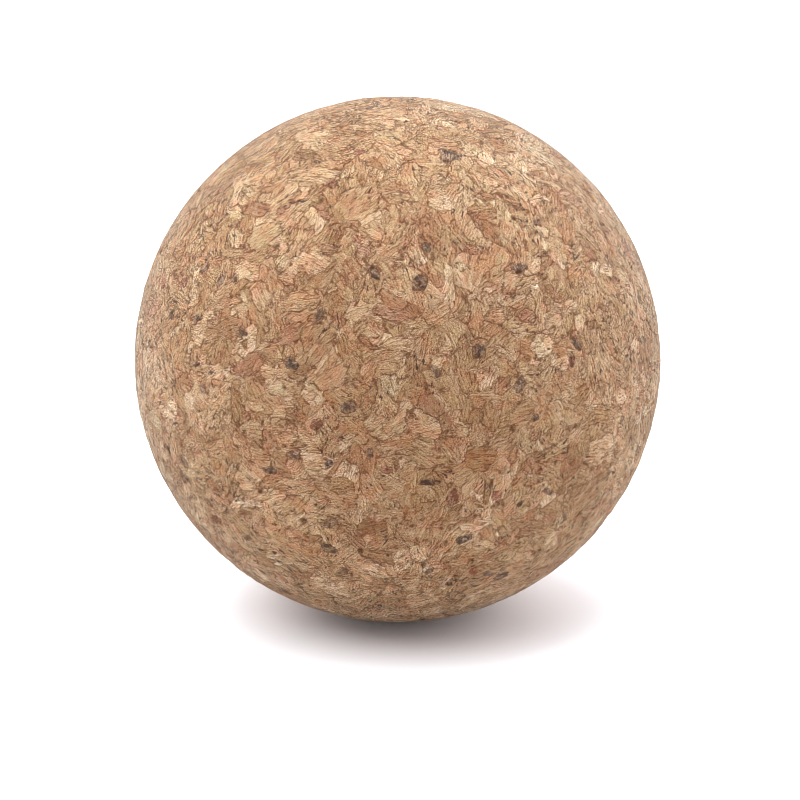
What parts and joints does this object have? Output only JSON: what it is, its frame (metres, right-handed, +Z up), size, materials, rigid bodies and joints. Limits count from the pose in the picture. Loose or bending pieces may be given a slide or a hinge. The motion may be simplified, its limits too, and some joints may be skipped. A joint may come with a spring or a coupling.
{
  "type": "massage ball",
  "caption": "Solid ball of agglomerated cork with its coarse granules ground flush, rolled under the body to massage muscle.",
  "frame": {"origin": "the ball's centre, which is the centre of its bounding box", "axes": "+Z up as it rests, -Y towards the user; the ball is round about every axis, so the axes only fix where its grain lies"},
  "size_m": [0.065, 0.065, 0.065],
  "materials": {
    "bonded_fines": "matte ground cork, fine granules in clear binder",
    "pale_cork": "matte pale straw cork with fine growth lines",
    "tan_cork": "matte tan cork with fine growth lines",
    "amber_cork": "matte amber cork with fine growth lines",
    "russet_cork": "matte red-brown cork with fine growth lines",
    "dark_bark": "matte dark grey-brown outer bark, slightly pitted",
    "lenticel": "matte dark red-brown lenticel cork"
  },
  "bodies": {
    "root": {"bonded_fines": "bonded_fines", "pale_granules": "pale_cork", "tan_granules": "tan_cork", "amber_granules": "amber_cork", "russet_granules": "russet_cork", "dark_bark_granules": "dark_bark", "lenticel_granules": "lenticel"}
  },
  "joints": []
}
